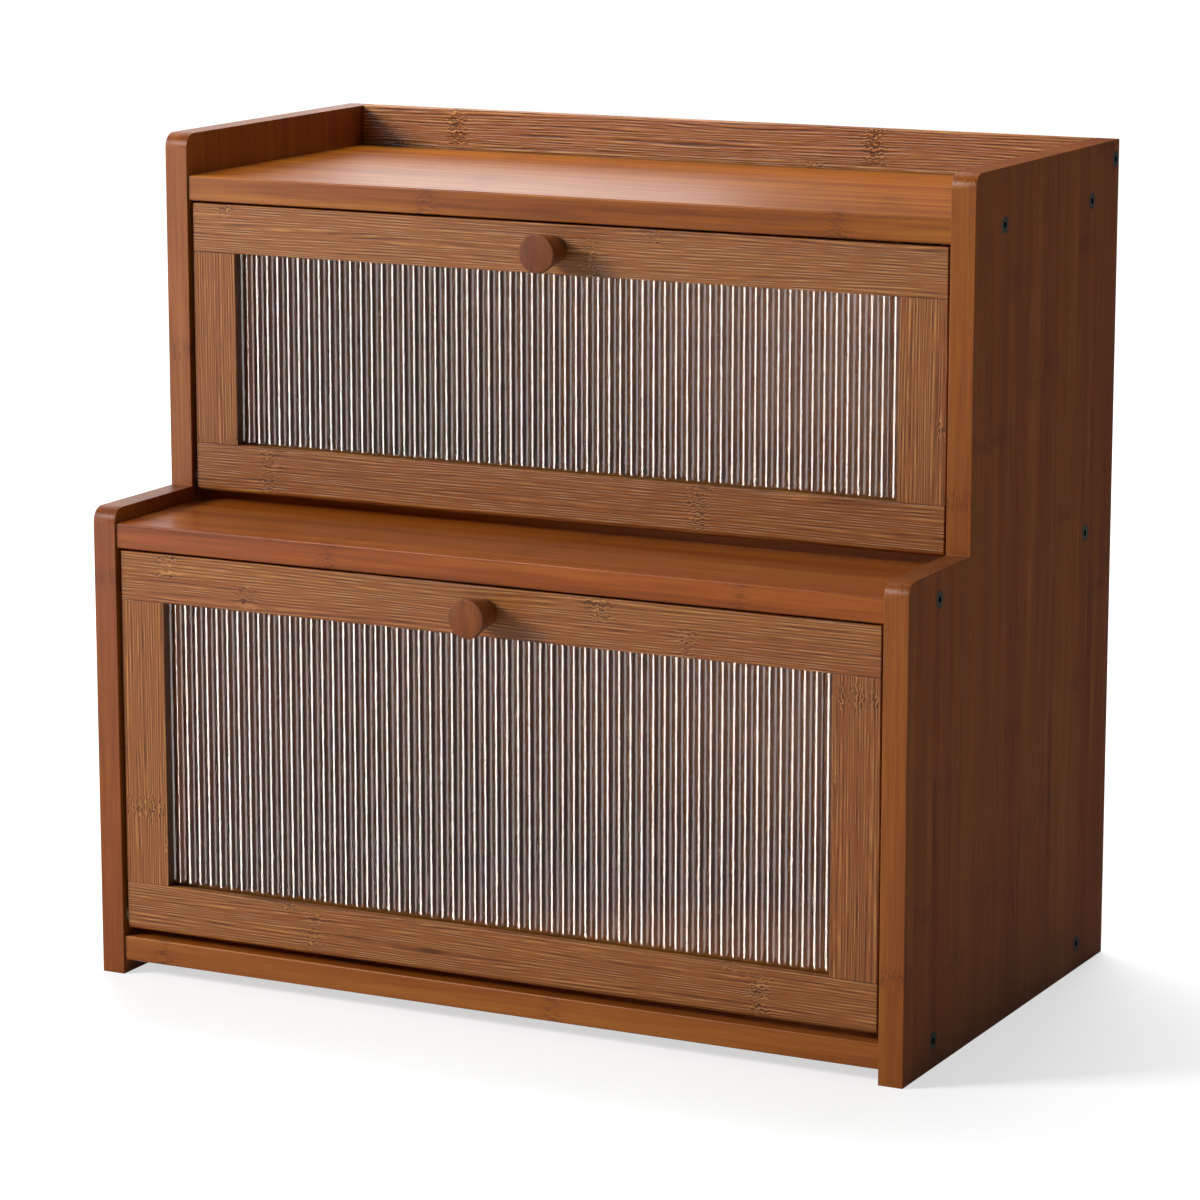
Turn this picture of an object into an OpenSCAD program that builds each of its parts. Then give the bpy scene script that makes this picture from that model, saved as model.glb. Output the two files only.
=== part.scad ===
// Two-tier bamboo bread box: a stepped cabinet with two drop-front doors glazed with reeded panes.
// Millimetres, +Z up, +X to the right seen from the front, and the front faces -Y.
// The origin is on the floor, under the middle of the whole box with its knobs.

/* [Case] */
// Width over the side panels
case_w = 420; // [340:5:520]
// Depth of the side panels
case_d = 250; // [225:5:320]
// Height of the side panels
case_h = 400; // [370:5:480]
// Thickness of the side panels and boards
board_t = 12; // [10:0.5:15]
// Height of the ledge, the top face of the middle board
ledge_z = 221.5; // [190:0.5:240]
// How far the upper tier is set back from the lower one
step_d = 70; // [50:5:90]
// How far the side panels stand below the bottom board
foot_h = 7; // [4:0.5:12]
// How far the side panels stand above the ledge
ledge_lip = 7; // [5:0.5:12]
// How far the side panels stand above the top board
tray_lip = 20; // [16:1:30]
// Radius of the side panels' rounded front corners
corner_r = 7; // [4:0.5:10]
// How far the boards' front edges sit behind the side panels' front edges
board_inset = 1; // [0.5:0.25:2]
// Rounding along the boards' front edges
board_ease = 0.8; // [0.4:0.1:2]

/* [Back] */
// Thickness of the rail behind the tray
rail_t = 9; // [8:0.5:12]
// Gap between the top board and the rail
rail_gap = 0.4; // [0.2:0.1:0.8]
// Rounding along the rail's top edges
rail_ease = 1; // [0.5:0.1:2]
// Thickness of the back panels
back_t = 4; // [3:0.5:5]
// Depth of the grooves that hold the back panels
groove_d = 3.5; // [2.5:0.5:4]
// Gap between a back panel and each wall of its groove
groove_play = 0.15; // [0.05:0.05:0.3]
// Gap between a back panel's edge and the bottom of its groove
groove_end_play = 0.5; // [0.2:0.1:0.8]

/* [Doors] */
// Thickness of the door frames
door_t = 12; // [11:0.5:14]
// How far the door faces sit behind the side panels' front edges
door_recess = 2; // [1:0.5:4]
// Gap between a door's end and the side panel
door_side_gap = 1.5; // [1:0.1:3]
// Gap between a door's top edge and the board above it
door_top_gap = 1.2; // [0.8:0.1:2]
// Gap between the lower door's bottom edge and the bottom board
lower_door_gap = 3.5; // [3:0.5:6]
// Gap between the upper door's bottom edge and the ledge
upper_door_gap = 5; // [3:0.5:8]
// Width of the door frames' rails and stiles
member_w = 23.5; // [22:0.5:30]
// Rounding along the doors' outer edges
door_ease = 0.6; // [0.3:0.1:1.2]
// Rounding along the doors' lower front edges
toe_r = 3; // [1:0.5:4]
// Thickness of the lip in front of the pane
lip_t = 5; // [4:0.5:5.5]
// Width of the rebate round the window
rebate_w = 6; // [5:0.5:7]
// Diameter of the dowels in the frame corners
dowel_d = 5; // [4:0.5:6]
// Length of the dowels
dowel_l = 20; // [14:1:24]
// Distance from a stile's outer edge to its first dowel's axis
dowel_edge = 4.5; // [4:0.25:5]
// Distance between the two dowels of a corner
dowel_pitch = 8; // [7:0.5:9]

/* [Reeded panes] */
// Thickness of the panes over the ribs
pane_t = 4; // [3.5:0.5:4.5]
// Distance from rib to rib
rib_pitch = 5.75; // [4:0.25:9]
// Height of the ribs above the valleys between them
rib_h = 1.4; // [0.6:0.1:1.8]
// Gap between a pane's edge and the wall of its rebate
pane_play = 0.5; // [0.2:0.1:0.8]
// Gap between the ribs and the lip in front of them
pane_seat = 0.1; // [0.05:0.05:0.3]

/* [Knobs] */
// Length of a knob
knob_l = 19.5; // [14:0.5:26]
// Diameter of a knob's front face
knob_d = 18.5; // [14:0.5:22]
// Diameter of a knob where it meets the door
knob_neck_d = 12.3; // [10:0.1:14]
// Rounding round a knob's front face
knob_ease = 0.9; // [0.4:0.1:2]
// Diameter of the screw that holds a knob
knob_screw_d = 4; // [3:0.5:5]
// How far that screw reaches into the knob
knob_screw_in = 12; // [8:0.5:13]
// Diameter of that screw's head
knob_head_d = 7; // [6:0.25:8]
// Height of that screw's head
knob_head_h = 2.2; // [1.6:0.1:3]

/* [Pivots] */
// Diameter of the pivot pins
pin_d = 5; // [4:0.5:5.5]
// Height of the pins' axis above a door's bottom edge
pin_up = 6.5; // [6:0.25:8]
// Length of a pin inside the door's rail
pin_in_rail = 15; // [10:1:20]
// Length of a pin inside its bush
pin_in_bush = 7.5; // [5:0.5:8]
// Wall of the bushes
bush_wall = 1; // [0.8:0.1:1.2]
// How far a bush's flange stands out round its sleeve
flange_w = 1.1; // [0.6:0.1:1.5]
// Gap between a bush's flange and the door's end
flange_play = 0.5; // [0.35:0.05:0.6]
// Radial gap between a pin and its bush
running_gap = 0.05; // [0.02:0.01:0.09]

/* [Case screws] */
// Diameter of the case screws
screw_d = 5; // [4:0.5:6]
// Length of the case screws, head included
screw_l = 42; // [30:1:50]
// Diameter of their heads
screw_head_d = 7.5; // [6.5:0.25:9]
// Height of their heads
screw_head_h = 2.5; // [1.5:0.25:3.5]
// Width across flats of the hexagon socket in a head
socket_af = 3; // [2.5:0.25:3.5]
// Depth of that socket
socket_h = 1.6; // [1:0.1:2]
// Distance of the board screws from each end of their board
screw_inset = 35; // [25:1:50]
// Distance of the rail's screws below its top edge
rail_screw_drop = 9.2; // [7:0.2:12]
// Radial gap round screws, pins and dowels in their holes
hole_gap = 0.05; // [0.02:0.01:0.1]
// Depth left free past the end of a screw, pin or dowel
hole_spare = 0.5; // [0.2:0.1:1]

/* [Magnetic catches] */
// Distance of the catches from the middle of the box
catch_x = 60; // [30:5:120]
// Width of a catch's housing
catch_w = 20; // [18:1:26]
// Depth of the housing, front to back
catch_d = 12; // [11:0.5:16]
// Height of the housing
catch_h = 12; // [11:0.5:13]
// Width of each ear beside the housing
ear_w = 8; // [7:0.5:10]
// Thickness of the ears
ear_t = 2.5; // [1.5:0.25:3]
// Width of the magnet
magnet_w = 14; // [10:1:15]
// Height of the magnet
magnet_h = 5; // [3:0.5:5]
// Depth of the magnet, front to back
magnet_d = 8; // [5:0.5:9]
// Thickness of the steel plates above and below the magnet
pole_t = 1; // [0.6:0.1:1.2]
// How far the steel plates stand out of the housing
pole_out = 0.6; // [0.3:0.1:1]
// Distance of the magnet's middle below the board
magnet_drop = 7; // [6.5:0.25:7.5]
// Gap between the steel plates and the strike plate
catch_gap = 0.4; // [0.35:0.05:0.8]
// Width of the strike plates
strike_w = 16; // [12:1:20]
// Height of the strike plates
strike_h = 9; // [7:0.5:10]
// Thickness of the strike plates
strike_t = 1; // [0.8:0.1:1.5]
// Diameter of the small screws
small_screw_d = 3; // [2.5:0.25:3.5]
// Length of the small screws in the wood
small_screw_l = 8; // [5:0.5:8.5]
// Diameter of the small screws' heads
small_head_d = 5.4; // [4.5:0.1:6]
// Height of the ear screws' heads
small_head_h = 1.6; // [1:0.1:2]

/* [Hidden] */
$fn = 64;

// Colours of the stained bamboo, the plain wood inside and the hardware
case_colour = "#8a5230";
door_colour = "#93603a";
knob_colour = "#7d4a2a";
back_colour = "#8f6844";
dowel_colour = "#c9a36f";
glass_colour = [0.86, 0.9, 0.9, 0.4];
black_steel_colour = "#2c2a29";
steel_colour = "#9b9a97";
nylon_colour = "#8d8a86";
housing_colour = "#6b4630";
magnet_colour = "#3a3836";

// Case: places front to back, where the knobs reach past the lower door
knob_reach = knob_l - door_recess;
front_y = -(case_d - knob_reach) / 2;
rear_y = front_y + case_d;
upper_front_y = front_y + step_d;
panel_inner_x = case_w / 2 - board_t;
inner_w = 2 * panel_inner_x;
shoulder_z = ledge_z + ledge_lip;
middle_under_z = ledge_z - board_t;
top_z = case_h - tray_lip;
top_under_z = top_z - board_t;
bottom_top_z = foot_h + board_t;
top_board_rear_y = rear_y - rail_t - rail_gap;
back_y = rear_y - rail_t / 2;

// Doors: each is drawn from its own lower front corner line, with its face at y = 0
door_w = inner_w - 2 * door_side_gap;
lower_door_z = bottom_top_z + lower_door_gap;
upper_door_z = ledge_z + upper_door_gap;
lower_door_h = middle_under_z - door_top_gap - lower_door_z;
upper_door_h = top_under_z - door_top_gap - upper_door_z;
window_w = door_w - 2 * member_w;
pocket_w = window_w + 2 * rebate_w;
pane_y = lip_t + pane_seat;
bead_t = door_t - pane_y - pane_t;
rib_r = (pow(rib_pitch / 2, 2) + pow(rib_h, 2)) / (2 * rib_h);

// Pivots
pin_y = door_t / 2;
pin_r = pin_d / 2;
pin_l = pin_in_rail + door_side_gap + pin_in_bush;
bush_bore_r = pin_r + running_gap;
bush_r = bush_bore_r + bush_wall;
flange_t = door_side_gap - flange_play;
bush_l = pin_in_bush + hole_spare;

// Catches and strikes
pole_y = door_recess + door_t + strike_t + catch_gap;
housing_y = pole_y + pole_out;
strike_drop = magnet_drop - door_top_gap;
cut = 1;

// A rectangle whose four corners, front-bottom, front-top, back-top and back-bottom, are rounded
module soft_rect(size, radii) {
  spots = [[0, 0], [0, size[1]], size, [size[0], 0]];
  inward = [[1, 1], [1, -1], [-1, -1], [-1, 1]];
  difference() {
    square(size);
    for (i = [0:3])
      if (radii[i] > 0)
        translate(spots[i])
          scale_signs(inward[i])
            difference() {
              translate([-cut, -cut]) square(radii[i] + cut);
              translate([radii[i], radii[i]]) circle(radii[i]);
            }
  }
}

// Turns a corner shape towards the inside of its rectangle
module scale_signs(signs) {
  mirror([signs[0] < 0 ? 1 : 0, 0]) mirror([0, signs[1] < 0 ? 1 : 0]) children();
}

// Extrudes a (y, z) outline along X, centred on x = 0
module along_x(length) {
  translate([-length / 2, 0, 0]) rotate([90, 0, 90]) linear_extrude(length) children();
}

// A cylinder along +X or -X from a point
module rod_x(r, length, towards) {
  rotate([0, 90 * towards, 0]) cylinder(r = r, h = length);
}

// ---- Case ----

// The two tiers' outline, each with its front top corner rounded
module side_outline() {
  translate([front_y, 0]) soft_rect([case_d, shoulder_z], [0, corner_r, 0, 0]);
  translate([upper_front_y, 0]) soft_rect([case_d - step_d, case_h], [0, corner_r, 0, 0]);
}

// Places of the screws in one side panel: each is [y, z]
function board_screw_spots(first_y, z) = [[first_y + screw_inset, z], [rear_y - screw_inset, z]];
top_screw_spots = board_screw_spots(upper_front_y, top_under_z + board_t / 2);
middle_screw_spots = board_screw_spots(front_y, middle_under_z + board_t / 2);
bottom_screw_spots = board_screw_spots(front_y, foot_h + board_t / 2);
rail_screw_spots = [[back_y, case_h - rail_screw_drop]];
all_screw_spots = concat(top_screw_spots, middle_screw_spots, bottom_screw_spots, rail_screw_spots);

// Places of the two pivots in a side panel: each is [y, z]
lower_pivot = [front_y + door_recess + pin_y, lower_door_z + pin_up];
upper_pivot = [upper_front_y + door_recess + pin_y, upper_door_z + pin_up];

// One case screw, its head's face at the origin and its tip towards +X
module case_screw() {
  difference() {
    union() {
      rod_x(screw_head_d / 2, screw_head_h, 1);
      rod_x(screw_d / 2, screw_l, 1);
    }
    translate([-cut, 0, 0]) rotate([0, 90, 0])
      cylinder(r = socket_af / sqrt(3), h = socket_h + cut, $fn = 6);
  }
}

// The clearance hole and head pocket that one case screw needs, up to a given depth
module case_screw_hole(length) {
  translate([-cut, 0, 0]) rod_x(screw_head_d / 2 + hole_gap, screw_head_h + cut, 1);
  rod_x(screw_d / 2 + hole_gap, length, 1);
}

// Repeats something that points inwards from the left side panel's outer face, at each [y, z]
module left_side(spots) {
  for (s = spots)
    translate([-case_w / 2, s[0], s[1]]) children();
}

// The same on both sides
module both_sides(spots) {
  left_side(spots) children();
  mirror([1, 0, 0]) left_side(spots) children();
}

// The groove for the back panels across the width given, from one height to another
module back_groove(width, z0, z1) {
  thick = back_t + 2 * groove_play;
  translate([-width / 2, back_y - thick / 2, z0]) cube([width, thick, z1 - z0]);
}

// The left side panel: screw holes, pivot holes and the groove for the back panels
module side_panel() {
  difference() {
    translate([-case_w / 2 + board_t / 2, 0, 0]) along_x(board_t) side_outline();
    left_side(all_screw_spots) case_screw_hole(board_t + cut);
    for (p = [lower_pivot, upper_pivot])
      translate([-panel_inner_x + cut, p[0], p[1]])
        rod_x(bush_r + hole_gap, bush_l + cut, -1);
    back_groove(inner_w + 2 * groove_d, bottom_top_z - groove_d, top_under_z + groove_d);
  }
}

module side_panel_left() { color(case_colour) side_panel(); }
module side_panel_right() { color(case_colour) mirror([1, 0, 0]) side_panel(); }

// A board between the side panels, with its front edges eased
module board(first_y, last_y, z, spots) {
  depth = last_y - first_y;
  difference() {
    translate([0, first_y, z]) along_x(inner_w)
      soft_rect([depth, board_t], [board_ease, board_ease, 0, 0]);
    both_sides(spots) case_screw_hole(screw_l + hole_spare);
    children();
  }
}

module top_board() {
  color(case_colour) difference() {
    board(upper_front_y + board_inset, top_board_rear_y, top_under_z, top_screw_spots);
    ear_screw_holes(upper_front_y, top_under_z);
  }
}
module middle_board() {
  color(case_colour) difference() {
    board(front_y + board_inset, rear_y, middle_under_z, middle_screw_spots);
    ear_screw_holes(front_y, middle_under_z);
    back_groove(inner_w + cut, ledge_z - groove_d, ledge_z + cut);
    back_groove(inner_w + cut, middle_under_z - cut, middle_under_z + groove_d);
  }
}
module bottom_board() {
  color(case_colour) difference() {
    board(front_y + board_inset, rear_y, foot_h, bottom_screw_spots);
    back_groove(inner_w + cut, bottom_top_z - groove_d, bottom_top_z + cut);
  }
}

// The rail behind the tray, standing on the upper back panel's top edge
module back_rail() {
  color(door_colour) difference() {
    translate([0, rear_y - rail_t, top_under_z]) along_x(inner_w)
      soft_rect([rail_t, case_h - top_under_z], [0, rail_ease, rail_ease, 0]);
    both_sides(rail_screw_spots) case_screw_hole(screw_l + hole_spare);
    back_groove(inner_w + cut, top_under_z - cut, top_under_z + groove_d);
  }
}

// A thin back panel between two grooves, given the faces that they are cut into
module back_panel(z0, z1) {
  reach = groove_d - groove_end_play;
  translate([-inner_w / 2 - reach, back_y - back_t / 2, z0 - reach])
    cube([inner_w + 2 * reach, back_t, z1 - z0 + 2 * reach]);
}
module back_panel_upper() { color(back_colour) back_panel(ledge_z, top_under_z); }
module back_panel_lower() { color(back_colour) back_panel(bottom_top_z, middle_under_z); }

module top_board_screws() { color(black_steel_colour) both_sides(top_screw_spots) case_screw(); }
module middle_board_screws() { color(black_steel_colour) both_sides(middle_screw_spots) case_screw(); }
module bottom_board_screws() { color(black_steel_colour) both_sides(bottom_screw_spots) case_screw(); }
module back_rail_screws() { color(black_steel_colour) both_sides(rail_screw_spots) case_screw(); }

// ---- Pivots ----

// A flanged sleeve, its flange on the left side panel's inner face
module bush(pivot) {
  translate([-panel_inner_x, pivot[0], pivot[1]])
    difference() {
      union() {
        rod_x(bush_r, bush_l, -1);
        rod_x(bush_r + flange_w, flange_t, 1);
      }
      translate([-bush_l - cut, 0, 0]) rod_x(bush_bore_r, bush_l + flange_t + 2 * cut, 1);
    }
}
module upper_bush_left() { color(nylon_colour) bush(upper_pivot); }
module upper_bush_right() { color(nylon_colour) mirror([1, 0, 0]) bush(upper_pivot); }
module lower_bush_left() { color(nylon_colour) bush(lower_pivot); }
module lower_bush_right() { color(nylon_colour) mirror([1, 0, 0]) bush(lower_pivot); }

// A pin from inside the left end of a door's bottom rail into its bush
module pin(pivot) {
  translate([-panel_inner_x - pin_in_bush, pivot[0], pivot[1]]) rod_x(pin_r, pin_l, 1);
}
module upper_door_pin_left() { color(steel_colour) pin(upper_pivot); }
module upper_door_pin_right() { color(steel_colour) mirror([1, 0, 0]) pin(upper_pivot); }
module lower_door_pin_left() { color(steel_colour) pin(lower_pivot); }
module lower_door_pin_right() { color(steel_colour) mirror([1, 0, 0]) pin(lower_pivot); }

// ---- Magnetic catches ----

// Repeats something at both ears of the catch below a board
module at_ears(tier_y, under_z) {
  for (side = [-1, 1])
    translate([catch_x + side * (catch_w + ear_w) / 2, tier_y + housing_y + catch_d / 2, under_z])
      children();
}

// The holes in a board for the screws through the ears
module ear_screw_holes(tier_y, under_z) {
  at_ears(tier_y, under_z) translate([0, 0, -cut])
    cylinder(r = small_screw_d / 2 + hole_gap, h = small_screw_l + hole_spare + cut);
}

// The housing: a block with an ear on each side and a pocket for the magnet
module catch_housing(tier_y, under_z) {
  pocket_h = magnet_h + 2 * pole_t;
  difference() {
    translate([catch_x, tier_y + housing_y, under_z]) {
      translate([-catch_w / 2, 0, -catch_h]) cube([catch_w, catch_d, catch_h]);
      translate([0, 0, -ear_t]) linear_extrude(ear_t)
        translate([-catch_w / 2 - ear_w, 0])
          soft_rect([catch_w + 2 * ear_w, catch_d], [2, 2, 2, 2]);
    }
    translate([catch_x - magnet_w / 2, tier_y + housing_y - cut, under_z - magnet_drop - pocket_h / 2])
      cube([magnet_w, magnet_d + cut, pocket_h]);
    at_ears(tier_y, under_z) translate([0, 0, -ear_t - cut])
      cylinder(r = small_screw_d / 2 + hole_gap, h = ear_t + 2 * cut);
  }
}
module upper_catch_housing() { color(housing_colour) catch_housing(upper_front_y, top_under_z); }
module lower_catch_housing() { color(housing_colour) catch_housing(front_y, middle_under_z); }

module catch_magnet(tier_y, under_z) {
  translate([catch_x - magnet_w / 2, tier_y + housing_y, under_z - magnet_drop - magnet_h / 2])
    cube([magnet_w, magnet_d, magnet_h]);
}
module upper_catch_magnet() { color(magnet_colour) catch_magnet(upper_front_y, top_under_z); }
module lower_catch_magnet() { color(magnet_colour) catch_magnet(front_y, middle_under_z); }

// The steel plates above and below the magnet, which reach out of the housing
module catch_poles(tier_y, under_z) {
  for (z = [magnet_h / 2, -magnet_h / 2 - pole_t])
    translate([catch_x - magnet_w / 2, tier_y + pole_y, under_z - magnet_drop + z])
      cube([magnet_w, magnet_d + pole_out, pole_t]);
}
module upper_catch_poles() { color(steel_colour) catch_poles(upper_front_y, top_under_z); }
module lower_catch_poles() { color(steel_colour) catch_poles(front_y, middle_under_z); }

module catch_screws(tier_y, under_z) {
  at_ears(tier_y, under_z) {
    translate([0, 0, -ear_t]) cylinder(d = small_screw_d, h = ear_t + small_screw_l);
    translate([0, 0, -ear_t - small_head_h]) cylinder(d = small_head_d, h = small_head_h);
  }
}
module upper_catch_screws() { color(steel_colour) catch_screws(upper_front_y, top_under_z); }
module lower_catch_screws() { color(steel_colour) catch_screws(front_y, middle_under_z); }

// ---- Doors ----

module at_upper_door() {
  translate([0, upper_front_y + door_recess, upper_door_z]) children();
}
module at_lower_door() {
  translate([0, front_y + door_recess, lower_door_z]) children();
}

// A rail's plain bar: full width, with its lower and upper front edges rounded as given
module rail_blank(low_r, high_r, low_back_r, high_back_r) {
  intersection() {
    along_x(door_w) soft_rect([door_t, member_w], [low_r, high_r, high_back_r, low_back_r]);
    linear_extrude(member_w) translate([-door_w / 2, 0])
      soft_rect([door_w, door_t], [door_ease, door_ease, door_ease, door_ease]);
  }
}

// Places of a door's dowels along x, on both stiles
dowel_xs = [for (side = [-1, 1], i = [0, 1]) side * (door_w / 2 - dowel_edge - i * dowel_pitch)];

// The holes for the dowels, upwards and downwards from the joint at height z
module dowel_holes(z) {
  half = dowel_l / 2 + hole_spare;
  for (x = dowel_xs)
    translate([x, pin_y, z - half]) cylinder(r = dowel_d / 2 + hole_gap, h = 2 * half);
}

// The hole for the knob's screw, with a pocket for its head in the rail's back
module knob_screw_hole() {
  translate([0, door_t + cut, 0]) rotate([90, 0, 0]) {
    cylinder(r = knob_screw_d / 2 + hole_gap, h = door_t + 2 * cut);
    cylinder(r = knob_head_d / 2 + hole_gap, h = knob_head_h + cut);
  }
}

// The hole for the strike plate's screw
module strike_screw_hole() {
  translate([catch_x, door_t + cut, member_w - strike_drop]) rotate([90, 0, 0])
    cylinder(r = small_screw_d / 2 + hole_gap, h = small_screw_l + hole_spare + cut);
}

module top_rail(door_h) {
  translate([0, 0, door_h - member_w])
    difference() {
      rail_blank(0, door_ease, 0, door_ease);
      translate([-pocket_w / 2, lip_t, -cut]) cube([pocket_w, door_t, rebate_w + cut]);
      dowel_holes(0);
      translate([0, 0, member_w / 2]) knob_screw_hole();
      strike_screw_hole();
    }
}
module bottom_rail() {
  difference() {
    rail_blank(toe_r, 0, door_ease, 0);
    translate([-pocket_w / 2, lip_t, member_w - rebate_w]) cube([pocket_w, door_t, rebate_w + cut]);
    dowel_holes(member_w);
    for (side = [-1, 1])
      translate([side * (door_w / 2 + cut), pin_y, pin_up])
        rod_x(pin_r + hole_gap, pin_in_rail + hole_spare + cut, -side);
  }
}
module stile_left(door_h) {
  difference() {
    translate([-door_w / 2, 0, member_w]) linear_extrude(door_h - 2 * member_w)
      difference() {
        soft_rect([member_w, door_t], [door_ease, door_ease, 0, 0]);
        translate([member_w - rebate_w, lip_t]) square([rebate_w + cut, door_t]);
      }
    dowel_holes(member_w);
    dowel_holes(door_h - member_w);
  }
}
module dowels(door_h) {
  for (x = dowel_xs, z = [member_w, door_h - member_w])
    translate([x, pin_y, z - dowel_l / 2]) cylinder(d = dowel_d, h = dowel_l);
}

// The pane in plan: a flat back with a row of round ribs in front, with a groove between two ribs in the middle, cut off
// at the pane's edges
module pane(door_h) {
  width = pocket_w - 2 * pane_play;
  half_count = ceil(width / rib_pitch / 2);
  solid_y = (rib_h + pane_t) / 2;
  translate([-width / 2, pane_y, member_w - rebate_w + pane_play])
    linear_extrude(door_h - 2 * (member_w - rebate_w + pane_play)) {
      translate([0, solid_y]) square([width, pane_t - solid_y]);
      intersection() {
        square([width, (solid_y + pane_t) / 2]);
        for (i = [-half_count:half_count - 1])
          translate([width / 2 + (i + 0.5) * rib_pitch, rib_r]) circle(rib_r);
      }
    }
}

// A glazing bead behind the top or bottom of the pane, over the whole pocket
module long_bead(z) {
  translate([-pocket_w / 2, door_t - bead_t, z]) cube([pocket_w, bead_t, rebate_w]);
}
// A glazing bead behind the left side of the pane, between the long ones
module short_bead(door_h) {
  translate([-pocket_w / 2, door_t - bead_t, member_w])
    cube([rebate_w, bead_t, door_h - 2 * member_w]);
}

// The knob: a short cone that widens to a flat round face with an eased edge
module knob() {
  r = knob_d / 2;
  e = knob_ease;
  rim = [for (a = [0:15:90]) [r - e + e * cos(a), knob_l - e + e * sin(a)]];
  rotate([90, 0, 0])
    difference() {
      rotate_extrude() polygon(concat([[0, 0], [knob_neck_d / 2, 0]], rim, [[0, knob_l]]));
      translate([0, 0, -cut])
        cylinder(r = knob_screw_d / 2 + hole_gap, h = knob_screw_in + hole_spare + cut);
    }
}
module knob_screw() {
  translate([0, door_t, 0]) rotate([90, 0, 0]) difference() {
    union() {
      cylinder(d = knob_screw_d, h = door_t + knob_screw_in);
      cylinder(d = knob_head_d, h = knob_head_h);
    }
    translate([0, 0, -cut]) cylinder(r = knob_screw_d / 3, h = knob_head_h / 2 + cut, $fn = 6);
  }
}

// The steel plate that the magnet holds, and its countersunk screw
module strike_cone(spare) {
  cylinder(r1 = small_head_d / 2 + spare, r2 = small_screw_d / 2 + spare, h = strike_t);
}
module at_strike(door_h) {
  translate([catch_x, door_t + strike_t, door_h - strike_drop]) rotate([90, 0, 0]) children();
}
module strike_plate(door_h) {
  at_strike(door_h) difference() {
    linear_extrude(strike_t) translate([-strike_w / 2, -strike_h / 2])
      soft_rect([strike_w, strike_h], [1, 1, 1, 1]);
    strike_cone(hole_gap);
    translate([0, 0, -cut]) cylinder(r = small_screw_d / 2 + hole_gap, h = strike_t + 2 * cut);
  }
}
module strike_screw(door_h) {
  at_strike(door_h) {
    strike_cone(0);
    cylinder(d = small_screw_d, h = strike_t + small_screw_l);
  }
}

module upper_door_top_rail() { color(door_colour) at_upper_door() top_rail(upper_door_h); }
module upper_door_bottom_rail() { color(door_colour) at_upper_door() bottom_rail(); }
module upper_door_stile_left() { color(door_colour) at_upper_door() stile_left(upper_door_h); }
module upper_door_stile_right() {
  color(door_colour) at_upper_door() mirror([1, 0, 0]) stile_left(upper_door_h);
}
module upper_door_dowels() { color(dowel_colour) at_upper_door() dowels(upper_door_h); }
module upper_door_pane() { color(glass_colour) at_upper_door() pane(upper_door_h); }
module upper_door_bead_top() { color(case_colour) at_upper_door() long_bead(upper_door_h - member_w); }
module upper_door_bead_bottom() { color(case_colour) at_upper_door() long_bead(member_w - rebate_w); }
module upper_door_bead_left() { color(case_colour) at_upper_door() short_bead(upper_door_h); }
module upper_door_bead_right() {
  color(case_colour) at_upper_door() mirror([1, 0, 0]) short_bead(upper_door_h);
}
module upper_door_knob() {
  color(knob_colour) at_upper_door() translate([0, 0, upper_door_h - member_w / 2]) knob();
}
module upper_door_knob_screw() {
  color(steel_colour) at_upper_door() translate([0, 0, upper_door_h - member_w / 2]) knob_screw();
}
module upper_door_strike_plate() { color(steel_colour) at_upper_door() strike_plate(upper_door_h); }
module upper_door_strike_screw() { color(steel_colour) at_upper_door() strike_screw(upper_door_h); }

module lower_door_top_rail() { color(door_colour) at_lower_door() top_rail(lower_door_h); }
module lower_door_bottom_rail() { color(door_colour) at_lower_door() bottom_rail(); }
module lower_door_stile_left() { color(door_colour) at_lower_door() stile_left(lower_door_h); }
module lower_door_stile_right() {
  color(door_colour) at_lower_door() mirror([1, 0, 0]) stile_left(lower_door_h);
}
module lower_door_dowels() { color(dowel_colour) at_lower_door() dowels(lower_door_h); }
module lower_door_pane() { color(glass_colour) at_lower_door() pane(lower_door_h); }
module lower_door_bead_top() { color(case_colour) at_lower_door() long_bead(lower_door_h - member_w); }
module lower_door_bead_bottom() { color(case_colour) at_lower_door() long_bead(member_w - rebate_w); }
module lower_door_bead_left() { color(case_colour) at_lower_door() short_bead(lower_door_h); }
module lower_door_bead_right() {
  color(case_colour) at_lower_door() mirror([1, 0, 0]) short_bead(lower_door_h);
}
module lower_door_knob() {
  color(knob_colour) at_lower_door() translate([0, 0, lower_door_h - member_w / 2]) knob();
}
module lower_door_knob_screw() {
  color(steel_colour) at_lower_door() translate([0, 0, lower_door_h - member_w / 2]) knob_screw();
}
module lower_door_strike_plate() { color(steel_colour) at_lower_door() strike_plate(lower_door_h); }
module lower_door_strike_screw() { color(steel_colour) at_lower_door() strike_screw(lower_door_h); }

side_panel_left();
side_panel_right();
top_board();
middle_board();
bottom_board();
back_rail();
back_panel_upper();
back_panel_lower();
top_board_screws();
middle_board_screws();
bottom_board_screws();
back_rail_screws();
upper_bush_left();
upper_bush_right();
lower_bush_left();
lower_bush_right();
upper_catch_housing();
upper_catch_magnet();
upper_catch_poles();
upper_catch_screws();
lower_catch_housing();
lower_catch_magnet();
lower_catch_poles();
lower_catch_screws();
upper_door_top_rail();
upper_door_bottom_rail();
upper_door_stile_left();
upper_door_stile_right();
upper_door_dowels();
upper_door_pane();
upper_door_bead_top();
upper_door_bead_bottom();
upper_door_bead_left();
upper_door_bead_right();
upper_door_knob();
upper_door_knob_screw();
upper_door_strike_plate();
upper_door_strike_screw();
upper_door_pin_left();
upper_door_pin_right();
lower_door_top_rail();
lower_door_bottom_rail();
lower_door_stile_left();
lower_door_stile_right();
lower_door_dowels();
lower_door_pane();
lower_door_bead_top();
lower_door_bead_bottom();
lower_door_bead_left();
lower_door_bead_right();
lower_door_knob();
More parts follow.
